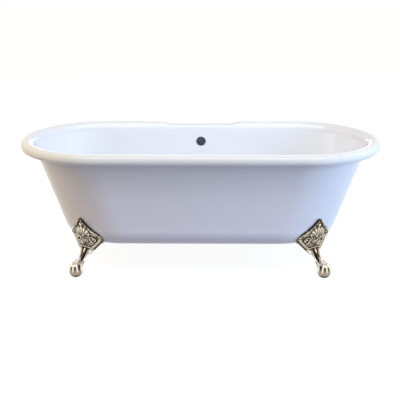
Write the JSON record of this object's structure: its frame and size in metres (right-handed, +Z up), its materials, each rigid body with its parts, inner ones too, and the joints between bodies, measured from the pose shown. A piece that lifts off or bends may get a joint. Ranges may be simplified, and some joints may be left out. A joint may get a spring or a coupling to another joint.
{
  "type": "clawfoot bathtub",
  "caption": "Free-standing double-ended bathtub with a rolled rim, a flat tap deck on one side, ball-and-claw feet, waste pipework and a press-down stopper.",
  "frame": {"origin": "on the floor, under the middle of the tub", "axes": "+X along the length, +Y to the side with the tap deck and overflow, +Z up"},
  "size_m": [1.702, 0.762, 0.597],
  "materials": {
    "enamel": "glossy white vitreous enamel on cast iron",
    "nickel": "brushed nickel plate, dark in the recesses",
    "zinc": "zinc plate",
    "plated_brass": "polished plate",
    "cast_brass": "rough cast brass",
    "dark_brass": "dark cast surface inside the overflow",
    "black_rubber": "matte black"
  },
  "bodies": {
    "tub": {"tub_shell": "enamel", "foot_front_right": "nickel", "foot_front_left": "nickel", "foot_back_right": "nickel", "foot_back_left": "nickel", "foot_studs": "zinc", "foot_washers": "zinc", "foot_nuts": "zinc", "waste_strainer": "plated_brass", "waste_gasket": "black_rubber", "waste_shoe": "cast_brass", "stopper_cartridge": "cast_brass", "slip_nuts": "plated_brass", "slip_washers": "black_rubber", "waste_arm": "plated_brass", "overflow_riser": "plated_brass", "tailpiece": "plated_brass", "waste_tee": "cast_brass", "overflow_elbow": "dark_brass", "overflow_gasket": "black_rubber"},
    "stopper": {"stopper_cap": "plated_brass", "stopper_seal": "black_rubber", "stopper_plunger": "plated_brass"}
  },
  "joints": [
    {"name": "stopper_press", "type": "slide", "parent": "tub", "child": "stopper", "axis": [0, 0, 1], "range_m": [0, 0.009]}
  ]
}
